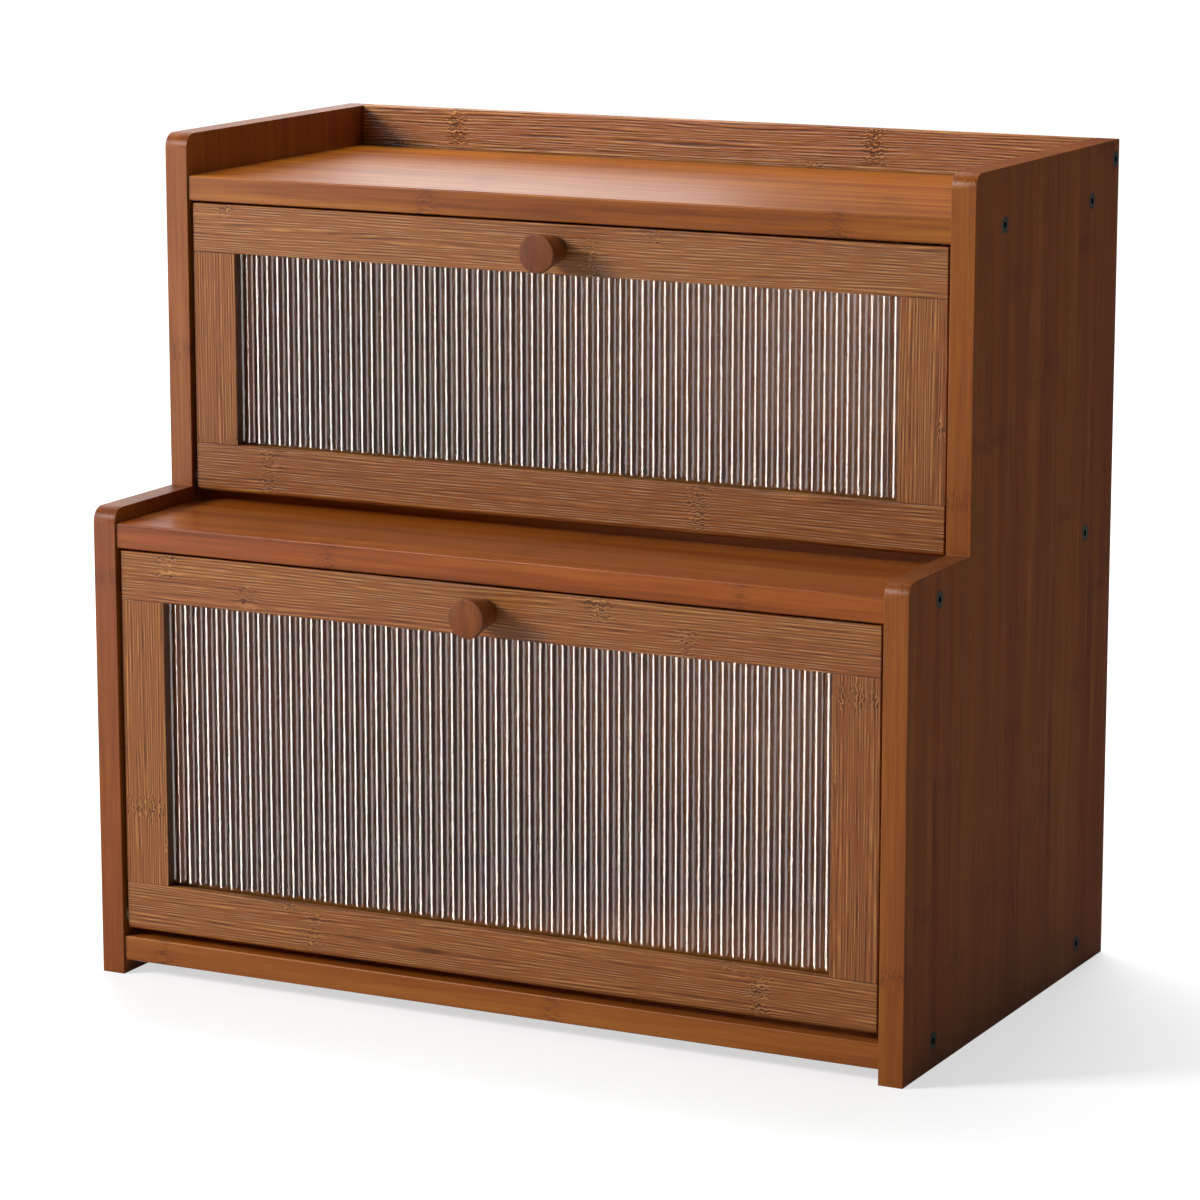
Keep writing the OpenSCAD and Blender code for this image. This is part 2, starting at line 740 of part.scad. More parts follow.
lower_door_knob_screw();
lower_door_strike_plate();
lower_door_strike_screw();
lower_door_pin_left();
lower_door_pin_right();
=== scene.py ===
# A stepped bread box in stained bamboo, with two drop-front doors glazed with reeded panes, dressed round
# its CAD frame. Metres, unless a comment says millimetres: the front faces -Y, X runs to the right and Z up
# from the floor.
import functools
import math

import bpy
import numpy as np
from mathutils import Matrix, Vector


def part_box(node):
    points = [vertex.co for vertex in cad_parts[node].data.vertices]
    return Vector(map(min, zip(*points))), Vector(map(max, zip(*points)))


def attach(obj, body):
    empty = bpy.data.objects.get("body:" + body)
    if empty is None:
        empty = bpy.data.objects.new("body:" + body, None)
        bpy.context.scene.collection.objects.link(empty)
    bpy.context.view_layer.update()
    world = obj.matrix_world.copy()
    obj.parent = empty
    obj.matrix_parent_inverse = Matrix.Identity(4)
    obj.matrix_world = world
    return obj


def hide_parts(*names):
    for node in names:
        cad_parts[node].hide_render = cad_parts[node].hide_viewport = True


mm = 0.001
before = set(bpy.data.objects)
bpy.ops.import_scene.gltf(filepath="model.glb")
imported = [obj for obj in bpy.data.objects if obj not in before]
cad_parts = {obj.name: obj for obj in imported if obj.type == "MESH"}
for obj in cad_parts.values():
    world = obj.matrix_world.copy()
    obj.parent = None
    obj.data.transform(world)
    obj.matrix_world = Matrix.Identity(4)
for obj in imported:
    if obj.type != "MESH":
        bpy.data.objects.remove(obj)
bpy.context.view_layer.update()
print("frame loaded:", len(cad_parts), "nodes")


# Helpers for colours, shader nodes and meshes

def linearColour(hexCode):
    # Linear value of an sRGB one: c / 12.92 up to 0.04045, then ((c + 0.055) / 1.055) ^ 2.4
    srgb = [int(hexCode[i:i + 2], 16) / 255 for i in (1, 3, 5)]
    return [c / 12.92 if c <= 0.04045 else ((c + 0.055) / 1.055) ** 2.4 for c in srgb] + [1.0]


def addNode(tree, kind, inputs=None, **settings):
    # One node, its settings, and each input given as a value, as the output that feeds it, or as the node
    # whose first output does. A Mix node's inputs are 0 the factor, 2 and 3 numbers, or 6 and 7 colours.
    node = tree.nodes.new("ShaderNode" + kind)
    for key, value in settings.items():
        setattr(node, key, value)
    for key, value in (inputs or {}).items():
        if isinstance(value, bpy.types.Node):
            value = value.outputs[0]
        if isinstance(value, bpy.types.NodeSocket):
            tree.links.new(value, node.inputs[key])
        else:
            node.inputs[key].default_value = value
    return node


def newMaterial(name):
    # An empty material, and addNode bound to it
    material = bpy.data.materials.new(name)
    material.use_nodes = True
    material.node_tree.nodes.clear()
    return material, functools.partial(addNode, material.node_tree)


def finishNode(name, material):
    # A CAD node keeps its shape and gets a finish
    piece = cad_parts[name]
    piece.data.materials.clear()
    piece.data.materials.append(material)


easing = {"joinDistance": 0.005, "flatAngle": 0.5, "edgeAngle": 30}  # millimetres and degrees


def easeEdges(name, width, segments=3):
    # The CAD triangles are joined, their flats merged, and each edge sharper than edgeAngle is rounded
    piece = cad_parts[name]
    joined = piece.modifiers.new("joinTriangles", "WELD")
    joined.merge_threshold = easing["joinDistance"] * mm
    flats = piece.modifiers.new("mergeFlats", "DECIMATE")
    flats.decimate_type = "DISSOLVE"
    flats.angle_limit = math.radians(easing["flatAngle"])
    eased = piece.modifiers.new("easedEdges", "BEVEL")
    eased.limit_method = "ANGLE"
    eased.angle_limit = math.radians(easing["edgeAngle"])
    eased.width = width * mm
    eased.segments = segments
    eased.use_clamp_overlap = False
    eased.loop_slide = False
    piece.modifiers.new("splitFaces", "TRIANGULATE")


def skin(name, stations, body, material, smoothAngle):
    # stations[i, j] is point j of the closed ring at station i: rings are joined by quads, both ends capped
    count, around = stations.shape[:2]
    i, j = np.meshgrid(np.arange(count - 1), np.arange(around), indexing="ij")
    after = (j + 1) % around
    quads = [i * around + j, i * around + after, (i + 1) * around + after, (i + 1) * around + j]
    quads = np.stack(quads, -1)
    caps = [list(range(around))[::-1], list(range((count - 1) * around, count * around))]
    mesh = bpy.data.meshes.new(name)
    mesh.from_pydata(stations.reshape(-1, 3).tolist(), [], quads.reshape(-1, 4).tolist() + caps)
    mesh.shade_smooth()
    mesh.set_sharp_from_angle(angle=math.radians(smoothAngle))
    mesh.materials.append(material)
    piece = bpy.data.objects.new(name, mesh)
    bpy.context.scene.collection.objects.link(piece)
    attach(piece, body)
    return piece


# Side panels and boards: strips of bamboo glued side by side, sanded smooth, stained and lacquered satin.
# The eye sees 21 mm strips of slightly different brown, fine long fibres and a soft sheen. Plum and olive
# are the two tints between which the strips vary. Lengths are in millimetres.
sandedBamboo = {
    "dark": "#5c2c0b", "middle": "#894a1a", "light": "#a4652d", "knot": "#4b2214",
    "olive": "#fffbe2", "plum": "#ffeaf0",
    "stripWidth": 21, "stripShare": 0.22,
    "fibreAcross": 1.2, "fibreAlong": 40, "fibreDetail": 3.0, "fibreShare": 0.3,
    "streakAcross": 7, "streakAlong": 240, "streakShare": 0.48,
    "knotSpacing": 210, "knotScatter": 1.0, "knotLength": 9, "knotDepth": 0.5, "curl": 0.7,
    "fibreRelief": 1.0, "relief": 0.015, "roughness": 0.33, "toneBase": 0.0,
    "endGrain": 0.16, "endRelief": 8.0, "paintedEdgeShade": 0.0, "shadedSide": 1,
    "grooveSpacing": 1.5, "grooveLength": 9, "grooveShare": 0.0,
}
# Door frames and back rail: the same strips, wire-brushed along the grain before the stain, so the soft
# tissue is worn into grooves that the eye sees as thin dark broken lines. The real ones lie about 1 mm
# apart; they are drawn a little coarser, so that they still show at the picture's distance.
brushedBamboo = {
    "dark": "#49240d", "middle": "#8a5225", "light": "#bb844d", "knot": "#43200e",
    "olive": "#fffbe2", "plum": "#ffecee",
    "stripWidth": 21, "stripShare": 0.05,
    "fibreAcross": 0.6, "fibreAlong": 12, "fibreDetail": 2.0, "fibreShare": 0.1,
    "streakAcross": 6, "streakAlong": 70, "streakShare": 0.07,
    "knotSpacing": 230, "knotScatter": 0.3, "knotLength": 10, "knotDepth": 0.2, "curl": 1.1,
    "fibreRelief": 0.3, "relief": 0.2, "roughness": 0.42, "toneBase": 0.38,
    "endGrain": 0.2, "endRelief": 0.0, "paintedEdgeShade": 0.0, "shadedSide": 1,
    "grooveSpacing": 1.45, "grooveLength": 14, "grooveShare": 0.36,
}
# What both finishes share, lengths in millimetres: near a knot line the fibres crumple and dark strokes lie
# along them, the knot line wanders, and the grooves drift sideways. Low and high are the values of a noise
# or a direction that are stretched to 0 and 1.
grain = {
    "fibreRoughness": 0.6, "streakDetail": 2.0, "noiseLow": 0.3, "noiseHigh": 0.7,
    "wanderLength": 5.0, "wanderDetail": 1.0,
    "crumpleAlong": 2.4, "crumpleAcross": 2.0, "crumpleDetail": 2.0, "crumpleWidth": 4,
    "strokeAlong": 5.0, "strokeAcross": 0.9, "strokeDetail": 1.0, "strokeLow": 0.42, "strokeHigh": 0.62,
    "driftAcross": 6.0, "driftAlong": 160.0, "driftDetail": 1.0, "driftTurns": 4.0,
    "maskDetail": 0.0, "knotGroove": 0.35,
    "endLow": 0.05, "endHigh": 0.6, "edgeLow": 0.8, "edgeHigh": 0.98, "glossChange": 0.08,
}
# How far a piece's seed, or a strip's chance, moves each pattern, so that no two pieces or strips match
offsets = {"strip": 7.3, "chance": 3.17, "run": 97.0, "stripRun": 613.0, "wander": 1.7, "depth": 5.3}


def bambooMaterial(name, finish, axes, seed, knotAt=0.0):
    # axes names the part's axes along the grain, across the strips and into the board.
    # tone = fibre + streak noises stretched along the grain + a chance per strip - grooves - end grain -
    # painted edge shade
    material, add = newMaterial(name)
    place = add("TexCoord").outputs["Object"]
    millimetres = add("VectorMath", {0: place, "Scale": 1 / mm}, operation="SCALE")
    split = add("SeparateXYZ", {0: millimetres}).outputs
    along, across, depth = [split[a] for a in axes]

    strip = add("Math", {0: across, 1: offsets["strip"] * seed}, operation="ADD")
    strip = add("Math", {0: strip, 1: finish["stripWidth"]}, operation="DIVIDE")
    strip = add("Math", {0: strip}, operation="FLOOR")
    chance = add("Math", {0: strip, 1: offsets["chance"] * seed}, operation="ADD")
    chance = add("TexWhiteNoise", {"W": chance}, noise_dimensions="1D").outputs["Value"]
    run = add("Math", {0: along, 1: offsets["run"] * seed}, operation="ADD")
    run = add("Math", {0: chance, 1: offsets["stripRun"], 2: run}, operation="MULTIPLY_ADD")

    def stretchedNoise(u, uLength, v, vLength, w, detail, roughness=0.5):
        # Noise at (u / uLength, v / vLength, w)
        u = add("Math", {0: u, 1: uLength}, operation="DIVIDE")
        v = add("Math", {0: v, 1: vLength}, operation="DIVIDE")
        where = add("CombineXYZ", {0: u, 1: v, 2: w})
        return add("TexNoise", {"Vector": where, "Scale": 1.0, "Detail": detail, "Roughness": roughness})

    # Distance along the grain from the nearest knot line, which wanders, and how near that is, from 0 to 1
    phase = add("Math", {0: along, 1: knotAt}, operation="SUBTRACT")
    phase = add("Math", {0: phase, 1: finish["knotSpacing"]}, operation="DIVIDE")
    phase = add("Math", {0: phase, 1: 0.5}, operation="ADD")
    phase = add("Math", {0: chance, 1: finish["knotScatter"], 2: phase}, operation="MULTIPLY_ADD")
    away = add("Math", {0: phase}, operation="FRACT")
    away = add("Math", {0: away, 1: 0.5}, operation="SUBTRACT")
    away = add("Math", {0: away}, operation="ABSOLUTE")
    wander = stretchedNoise(across, grain["wanderLength"], depth, grain["wanderLength"],
                            offsets["wander"] * seed, grain["wanderDetail"])
    wander = add("Math", {0: wander, 1: 0.5}, operation="SUBTRACT")
    wander = add("Math", {0: wander, 1: finish["knotLength"]}, operation="MULTIPLY")
    away = add("Math", {0: away, 1: finish["knotSpacing"], 2: wander}, operation="MULTIPLY_ADD")
    away = add("Math", {0: away}, operation="ABSOLUTE")
    near = add("MapRange", {"Value": away, "From Max": finish["knotLength"], "To Min": 1.0, "To Max": 0.0},
               interpolation_type="SMOOTHSTEP")

    # bent = across, pushed sideways by the crumpled fibres near a knot line
    crumple = stretchedNoise(run, grain["crumpleAlong"], across, grain["crumpleAcross"], depth,
                             grain["crumpleDetail"])
    crumple = add("Math", {0: crumple, 1: 0.5}, operation="SUBTRACT")
    crumple = add("Math", {0: crumple, 1: near}, operation="MULTIPLY")
    bent = add("Math", {0: crumple, 1: grain["crumpleWidth"] * finish["curl"], 2: across},
               operation="MULTIPLY_ADD")

    def grainNoise(acrossLength, alongLength, detail, roughness=0.5, low=grain["noiseLow"],
                   high=grain["noiseHigh"]):
        # Noise stretched along the grain, its values from low to high spread over 0 to 1
        deep = add("Math", {0: depth, 1: 1 / acrossLength, 2: offsets["depth"] * seed},
                   operation="MULTIPLY_ADD")
        noise = stretchedNoise(run, alongLength, bent, acrossLength, deep, detail, roughness)
        return add("MapRange", {"Value": noise, "From Min": low, "From Max": high})

    fibre = grainNoise(finish["fibreAcross"], finish["fibreAlong"], finish["fibreDetail"],
                       grain["fibreRoughness"])
    streak = grainNoise(finish["streakAcross"], finish["streakAlong"], grain["streakDetail"])
    # groove = sin(2 pi (across / spacing + drift)) x a broken mask: ridges and grooves alternate and end
    drift = grainNoise(grain["driftAcross"], grain["driftAlong"], grain["driftDetail"], low=0.0, high=1.0)
    turns = add("Math", {0: bent, 1: finish["grooveSpacing"]}, operation="DIVIDE")
    turns = add("Math", {0: drift, 1: grain["driftTurns"], 2: turns}, operation="MULTIPLY_ADD")
    mask = grainNoise(finish["grooveSpacing"], finish["grooveLength"], grain["maskDetail"])
    mask = add("Math", {0: near, 1: grain["knotGroove"], 2: mask}, operation="MULTIPLY_ADD")
    groove = add("Math", {0: turns, 1: 2 * math.pi}, operation="MULTIPLY")
    groove = add("Math", {0: groove}, operation="SINE")
    groove = add("Math", {0: groove, 1: mask}, operation="MULTIPLY")
    groove = add("Math", {0: groove, 1: finish["grooveShare"]}, operation="MULTIPLY")

    tone = add("Math", {0: fibre, 1: finish["fibreShare"], 2: finish["toneBase"]}, operation="MULTIPLY_ADD")
    tone = add("Math", {0: streak, 1: finish["streakShare"], 2: tone}, operation="MULTIPLY_ADD")
    tone = add("Math", {0: chance, 1: finish["stripShare"], 2: tone}, operation="MULTIPLY_ADD")
    tone = add("Math", {0: tone, 1: groove}, operation="SUBTRACT")
    # Where the surface cuts across the grain the fibre ends stand out in relief and soak up more stain
    facing = add("SeparateXYZ", {0: add("TexCoord").outputs["Normal"]}).outputs
    endGrain = add("Math", {0: facing[axes[0]]}, operation="ABSOLUTE")
    endGrain = add("MapRange", {"Value": endGrain, "From Min": grain["endLow"],
                                "From Max": grain["endHigh"]}, interpolation_type="SMOOTHSTEP")
    tone = add("Math", {0: endGrain, 1: -finish["endGrain"], 2: tone}, operation="MULTIPLY_ADD")
    # Painted shade: one long edge, on the side the finish names, is drawn darker and stands in for the shade
    # beside a pane
    shadedEdge = add("Math", {0: facing[axes[1]], 1: finish["shadedSide"]}, operation="MULTIPLY")
    shadedEdge = add("MapRange", {"Value": shadedEdge, "From Min": grain["edgeLow"],
                                "From Max": grain["edgeHigh"]})
    tone = add("Math", {0: shadedEdge, 1: -finish["paintedEdgeShade"], 2: tone}, operation="MULTIPLY_ADD")

    ramp = add("ValToRGB", {0: tone})
    ramp.color_ramp.elements[0].color = linearColour(finish["dark"])
    ramp.color_ramp.elements[1].color = linearColour(finish["light"])
    ramp.color_ramp.elements.new(0.5).color = linearColour(finish["middle"])
    plum, olive, knot = [linearColour(finish[c]) for c in ("plum", "olive", "knot")]
    hue = add("Mix", {0: chance, 6: plum, 7: olive}, data_type="RGBA").outputs[2]
    hue = add("Mix", {0: streak, 6: hue, 7: olive}, data_type="RGBA").outputs[2]
    stain = add("Mix", {0: 1.0, 6: ramp, 7: hue}, data_type="RGBA", blend_type="MULTIPLY").outputs[2]
    strokes = stretchedNoise(run, grain["strokeAlong"], bent, grain["strokeAcross"], depth,
                             grain["strokeDetail"])
    strokes = add("MapRange", {"Value": strokes, "From Min": grain["strokeLow"],
                               "From Max": grain["strokeHigh"]}, interpolation_type="SMOOTHSTEP")
    strokes = add("Math", {0: near, 1: strokes}, operation="MULTIPLY")
    strokes = add("Math", {0: strokes, 1: finish["knotDepth"]}, operation="MULTIPLY")
    stain = add("Mix", {0: strokes, 6: stain, 7: knot}, data_type="RGBA").outputs[2]

    relief = add("Math", {0: endGrain, 1: finish["endRelief"], 2: finish["fibreRelief"]},
                 operation="MULTIPLY_ADD")
    relief = add("Math", {0: fibre, 1: relief}, operation="MULTIPLY")
    relief = add("Math", {0: relief, 1: groove}, operation="SUBTRACT")
    bump = add("Bump", {"Height": relief, "Distance": finish["relief"] * mm})
    roughest = finish["roughness"] + grain["glossChange"] / 2
    gloss = add("Math", {0: fibre, 1: -grain["glossChange"], 2: roughest}, operation="MULTIPLY_ADD")
    surface = add("BsdfPrincipled", {"Base Color": stain, "Roughness": gloss, "Normal": bump})
    add("OutputMaterial", {0: surface})
    return material


# Each board's grain axes, seed and eased width in millimetres. On the side panels two eased edges just fit
# between the rear edge and the back rail screws' holes.
caseBoards = {
    "side_panel_left": ("ZYX", 41, 0.33), "side_panel_right": ("ZYX", 52, 0.33),
    "top_board": ("XYZ", 62, 0.3), "middle_board": ("XYZ", 71, 0.3), "bottom_board": ("XYZ", 86, 0.3),
    "back_panel_upper": ("XZY", 6, 0.3), "back_panel_lower": ("XZY", 7, 0.3),
}
# The two boards that show from above took the stain lighter, and the sides took it more evenly
sideFinish = dict(sandedBamboo, streakShare=0.28, stripShare=0.16, toneBase=0.12, plum="#ffe2e6",
                  olive="#faf9d4")
boardFinish = {"top_board": dict(sandedBamboo, middle="#92531a", light="#b37428"),
               "middle_board": dict(sandedBamboo, middle="#924b18", light="#ac6828"),
               "side_panel_left": sideFinish, "side_panel_right": sideFinish}
for name, (axes, seed, width) in caseBoards.items():
    finish = boardFinish.get(name, sandedBamboo)
    finishNode(name, bambooMaterial("sandedBamboo_" + name, finish, axes, seed))
    easeEdges(name, width)
# The back rail was brushed harder than the doors, and its lighter colours add a painted sheen
backRail = {"axes": "XZY", "seed": 8, "knotAt": 120, "eased": 0.4}
railBrushingAndSheen = dict(brushedBamboo, dark="#4e260c", middle="#9a6137", light="#d09a64", grooveShare=0.5,
                  relief=0.3)
finishNode("back_rail", bambooMaterial("brushedBamboo_back_rail", railBrushingAndSheen, backRail["axes"],
                                       backRail["seed"], backRail["knotAt"]))
easeEdges("back_rail", backRail["eased"])

# Where knot lines lie in the photo, in millimetres: X along the rails and Z up the stiles
doorKnots = {
    "upper_door": {"top_rail": -145, "bottom_rail": 120, "stile_left": 265, "stile_right": 291},
    "lower_door": {"top_rail": 120, "bottom_rail": -60, "stile_left": 126, "stile_right": 181},
}
# Painted shade darkens the stiles' edges beside the panes, where shade falls
stileFinish = {"stile_left": dict(brushedBamboo, paintedEdgeShade=0.7),
               "stile_right": dict(brushedBamboo, paintedEdgeShade=0.7, shadedSide=-1)}
doorEase = {"width": 0.4, "segments": 2}
seed = 10
for door, members in doorKnots.items():
    for member, knotAt in members.items():
        axes = "XZY" if "rail" in member else "ZXY"
        seed += 1
        name = door + "_" + member
        finish = stileFinish.get(member, brushedBamboo)
        finishNode(name, bambooMaterial("brushedBamboo_" + name, finish, axes, seed, knotAt))
        easeEdges(name, **doorEase)
    for bead in ("top", "bottom", "left", "right"):
        seed += 1
        axes = "XZY" if bead in ("top", "bottom") else "ZXY"
        name = door + "_bead_" + bead
        finishNode(name, bambooMaterial("sandedBamboo_" + name, sandedBamboo, axes, seed))
print("bamboo boards and door frames finished")


# The doors' turned knobs

def turned(name, profile, centre, body, material):
    # Profile point (r, out) turned about the door's normal: x = r cos t, y = -out, z = r sin t
    angle = np.linspace(0, 2 * math.pi, knobShape["steps"], endpoint=False)
    radius, out = np.array(profile).T[:, :, None]
    ring = np.stack([radius * np.cos(angle), -out + 0 * angle, radius * np.sin(angle)], -1)
    return skin(name, ring * mm + np.array(centre), body, material, knobShape["smoothAngle"])


# A straight foot, a cone up to the eased rim and a shallow dome, within the CAD knob's length and width:
# radii and lengths in millimetres, and how far up the dome each of its rings lies
knobShape = {"neck": 6.15, "foot": 0.4, "ease": 0.9, "dome": 0.35,
             "steps": 96, "rimSteps": 9, "domeSteps": (0.3, 0.6, 0.9, 0.99), "smoothAngle": 50}
# Turned from one strip of bamboo and stained dark: the eye sees short fibres and no knot
knobFinish = dict(sandedBamboo, middle="#7c421a", light="#95592a", stripWidth=900, stripShare=0.0,
                  fibreAlong=12, streakAlong=40, knotDepth=0.0, roughness=0.38)
knobSeed = 41
turnedBamboo = bambooMaterial("turnedBamboo", knobFinish, "ZXY", knobSeed)
s = knobShape
for door in doorKnots:
    low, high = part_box(door + "_knob")
    length, face = (high.y - low.y) / mm, (high.z - low.z) / 2 / mm
    flat, shoulder = face - s["ease"], length - s["dome"]
    rim = [(flat + s["ease"] * math.cos(a), shoulder - s["ease"] * (1 - math.sin(a)))
           for a in np.radians(np.linspace(0, 90, s["rimSteps"]))]
    crown = [(flat * math.sqrt(1 - f), length - s["dome"] * (1 - f)) for f in s["domeSteps"]]
    profile = [(s["neck"], 0.0), (s["neck"], s["foot"]), *rim, *crown]
    knob = turned(door + "_turned_knob", profile, (0, high.y, (low.z + high.z) / 2), door, turnedBamboo)
    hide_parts(door + "_knob")
print("knobs turned")


# Pressed glass with a row of round ribs: each rib is a lens that shows one sharp line of any tall lamp.
# Its shadow is a light one, since clear glass lets nearly all light pass.
reededGlass = {"colour": "#f4f8f6", "ior": 1.5, "roughness": 0.0, "shadow": "#d8eae8"}


def glassMaterial():
    s = reededGlass
    material, add = newMaterial("pressedReededGlass")
    glass = add("BsdfPrincipled", {"Base Color": linearColour(s["colour"]), "IOR": s["ior"],
                                   "Roughness": s["roughness"], "Transmission Weight": 1.0})
    clear = add("BsdfTransparent", {"Color": linearColour(s["shadow"])})
    path = add("LightPath").outputs
    mixed = add("MixShader", {0: path["Is Shadow Ray"], 1: glass, 2: clear})
    add("OutputMaterial", {0: mixed})
    return material


# Lengths in millimetres: leastStep is the narrowest facet left at a pane's ends
paneShape = {"pitch": 5.75, "ribHeight": 1.4, "chamfer": 0.3, "stepsPerRib": 24, "leastStep": 0.05,
             "smoothAngle": 30}


def reededPane(door, material):
    # In front, y = low.y + r - sqrt(r^2 - d^2), where d is the distance from the nearest crest and r is the
    # rib's radius; the crests lie at (i + 1/2) pitches from the middle. The upright section is carried along
    # X and chamfered at its edges.
    s = paneShape
    low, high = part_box(door + "_pane")
    half = (high.x - low.x) / 2 / mm
    radius = ((s["pitch"] / 2) ** 2 + s["ribHeight"] ** 2) / (2 * s["ribHeight"])
    steps = math.ceil(half / s["pitch"]) * s["stepsPerRib"]
    x = np.arange(-steps, steps + 1) * s["pitch"] / s["stepsPerRib"]
    x = np.concatenate([[-half], x[np.abs(x) < half - s["leastStep"]], [half]])
    fromCrest = np.abs(np.mod(x, s["pitch"]) - s["pitch"] / 2)
    front = low.y / mm + radius - np.sqrt(radius ** 2 - fromCrest ** 2)
    back, bottom, top, c = high.y / mm, low.z / mm, high.z / mm, s["chamfer"]
    one = np.ones_like(x)
    ring = [(front + c, bottom * one), (front, (bottom + c) * one), (front, (top - c) * one),
            (front + c, top * one), ((back - c) * one, top * one), (back * one, (top - c) * one),
            (back * one, (bottom + c) * one), ((back - c) * one, bottom * one)]
    stations = np.stack([np.stack([x, y, z], -1) for y, z in ring[::-1]], 1) * mm
    pane = skin(door + "_reeded_pane", stations, door, material, s["smoothAngle"])
    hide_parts(door + "_pane")


pressedGlass = glassMaterial()
for door in doorKnots:
    reededPane(door, pressedGlass)
print("reeded panes pressed")


# Small parts of steel, nylon, moulded plastic, ferrite and beech, each with a fine mottle of slightly darker
# spots that keeps it from looking flat. The case screws' phosphate coat is no bare metal: it looks like dark
# grey paint, and painted shade turns their sockets black. Depths, counted from the side panels'
# faces, and grain sizes are in millimetres.
mottled = {"dark": 0.8, "gloss": 0.08, "detail": 2.0, "depth": 0.01}
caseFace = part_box("side_panel_right")[1].x
hardware = {
    "phosphatedSteel": {"colour": "#4a5250", "metal": 0.0, "roughness": 0.42, "grainSize": 0.6,
                        "paintedSocketShade": "#0a0b0b", "fullShadeDepth": 0.4, "noShadeDepth": 0.05,
                        "nodes": ["top_board_screws", "middle_board_screws", "bottom_board_screws",
                                  "back_rail_screws"]},
    "zincPlatedSteel": {"colour": "#a9a8a4", "metal": 1.0, "roughness": 0.3, "grainSize": 0.4,
                        "nodes": ["upper_catch_poles", "lower_catch_poles",
                                  "upper_catch_screws", "lower_catch_screws",
                                  "upper_door_strike_plate", "lower_door_strike_plate",
                                  "upper_door_strike_screw", "lower_door_strike_screw",
                                  "upper_door_knob_screw", "lower_door_knob_screw",
                                  "upper_door_pin_left", "upper_door_pin_right",
                                  "lower_door_pin_left", "lower_door_pin_right"]},
    "mouldedNylon": {"colour": "#8d8a86", "metal": 0.0, "roughness": 0.45, "grainSize": 0.3,
                     "nodes": ["upper_bush_left", "upper_bush_right",
                               "lower_bush_left", "lower_bush_right"]},
    "mouldedPlastic": {"colour": "#5a3a26", "metal": 0.0, "roughness": 0.5, "grainSize": 0.3,
                       "nodes": ["upper_catch_housing", "lower_catch_housing"]},
    "sinteredFerrite": {"colour": "#33302e", "metal": 0.0, "roughness": 0.6, "grainSize": 0.2,
                        "nodes": ["upper_catch_magnet", "lower_catch_magnet"]},
    "plainBeech": {"colour": "#c9a36f", "metal": 0.0, "roughness": 0.55, "grainSize": 0.5,
                   "nodes": ["upper_door_dowels", "lower_door_dowels"]},
}
for name, s in hardware.items():
    material, add = newMaterial(name)
    place = add("TexCoord").outputs["Object"]
    mottle = add("TexNoise", {"Vector": place, "Scale": 1 / (s["grainSize"] * mm),
                              "Detail": mottled["detail"]})
    colour = linearColour(s["colour"])
    darker = [mottled["dark"] * c for c in colour]
    shade = add("Mix", {0: mottle, 6: darker, 7: colour}, data_type="RGBA").outputs[2]
    # Painted shade: in the sockets, deeper than the heads' faces, the colour turns near black
    if "paintedSocketShade" in s:
        across = add("SeparateXYZ", {0: place})
        across = add("Math", {0: across}, operation="ABSOLUTE")
        unshaded = add("MapRange", {"Value": across, "From Min": caseFace - s["fullShadeDepth"] * mm,
                                  "From Max": caseFace - s["noShadeDepth"] * mm})
        shade = add("Mix", {0: unshaded, 6: linearColour(s["paintedSocketShade"]), 7: shade}, data_type="RGBA").outputs[2]
    gloss = add("MapRange", {"Value": mottle, "To Min": s["roughness"] - mottled["gloss"],
                             "To Max": s["roughness"] + mottled["gloss"]})
    bump = add("Bump", {"Height": mottle, "Distance": mottled["depth"] * mm})
    surface = add("BsdfPrincipled", {"Base Color": shade, "Roughness": gloss, "Normal": bump,
                                     "Metallic": s["metal"]})
    add("OutputMaterial", {0: surface})
    for node in s["nodes"]:
        finishNode(node, material)
print("hardware finished")


# The studio: room, floor, lamps and camera

def backgroundRays(add):
    # 1 for each kind of ray that shows the background: seen straight or through glass, mirrored, and inside
    # a glass rib. A depth under 0.5 is no bounce yet.
    path = add("LightPath").outputs
    undiffused = add("Math", {0: path["Diffuse Depth"], 1: 0.5}, operation="LESS_THAN")
    unmirrored = add("Math", {0: path["Glossy Depth"], 1: 0.5}, operation="LESS_THAN")
    passed = add("Math", {0: path["Is Transmission Ray"], 1: undiffused}, operation="MULTIPLY")
    through = add("Math", {0: passed, 1: unmirrored}, operation="MULTIPLY")
    seen = add("Math", {0: path["Is Camera Ray"], 1: through}, operation="MAXIMUM")
    mirrored = add("Math", {0: path["Is Glossy Ray"], 1: undiffused}, operation="MULTIPLY")
    inside = add("Math", {0: passed, 1: through}, operation="SUBTRACT")
    return seen, mirrored, inside


# The room is white behind the object, from wallEdge degrees left of straight back, and dim in front and to
# the right, as behind a photographer. The floor is painted pale; seen straight it glows, more so further
# out, so that it turns as white as the room behind it and still keeps the object's shadow.
studio = {"ambient": 0.11, "roomFront": 0.05, "wallEdge": 25.0, "wallFade": 0.07, "backFade": 0.3,
          "floorColour": "#e8e8e6", "floorSize": 24.0, "floorSeen": 0.45, "glowFrom": 0.4, "glowTo": 2.5,
          "glowNear": 0.62, "glowFar": 0.95}
world = bpy.data.worlds.new("studio")
world.use_nodes = True
world.cycles.sampling_method = "NONE"
world.node_tree.nodes.clear()
bpy.context.scene.world = world
add = functools.partial(addNode, world.node_tree)
seen, mirrored, inside = backgroundRays(add)
towards = add("TexCoord").outputs["Generated"]
edge = math.radians(studio["wallEdge"])
wall = []
sides = {(-math.cos(edge), -math.sin(edge), 0): studio["wallFade"], (0, 1, 0): studio["backFade"]}
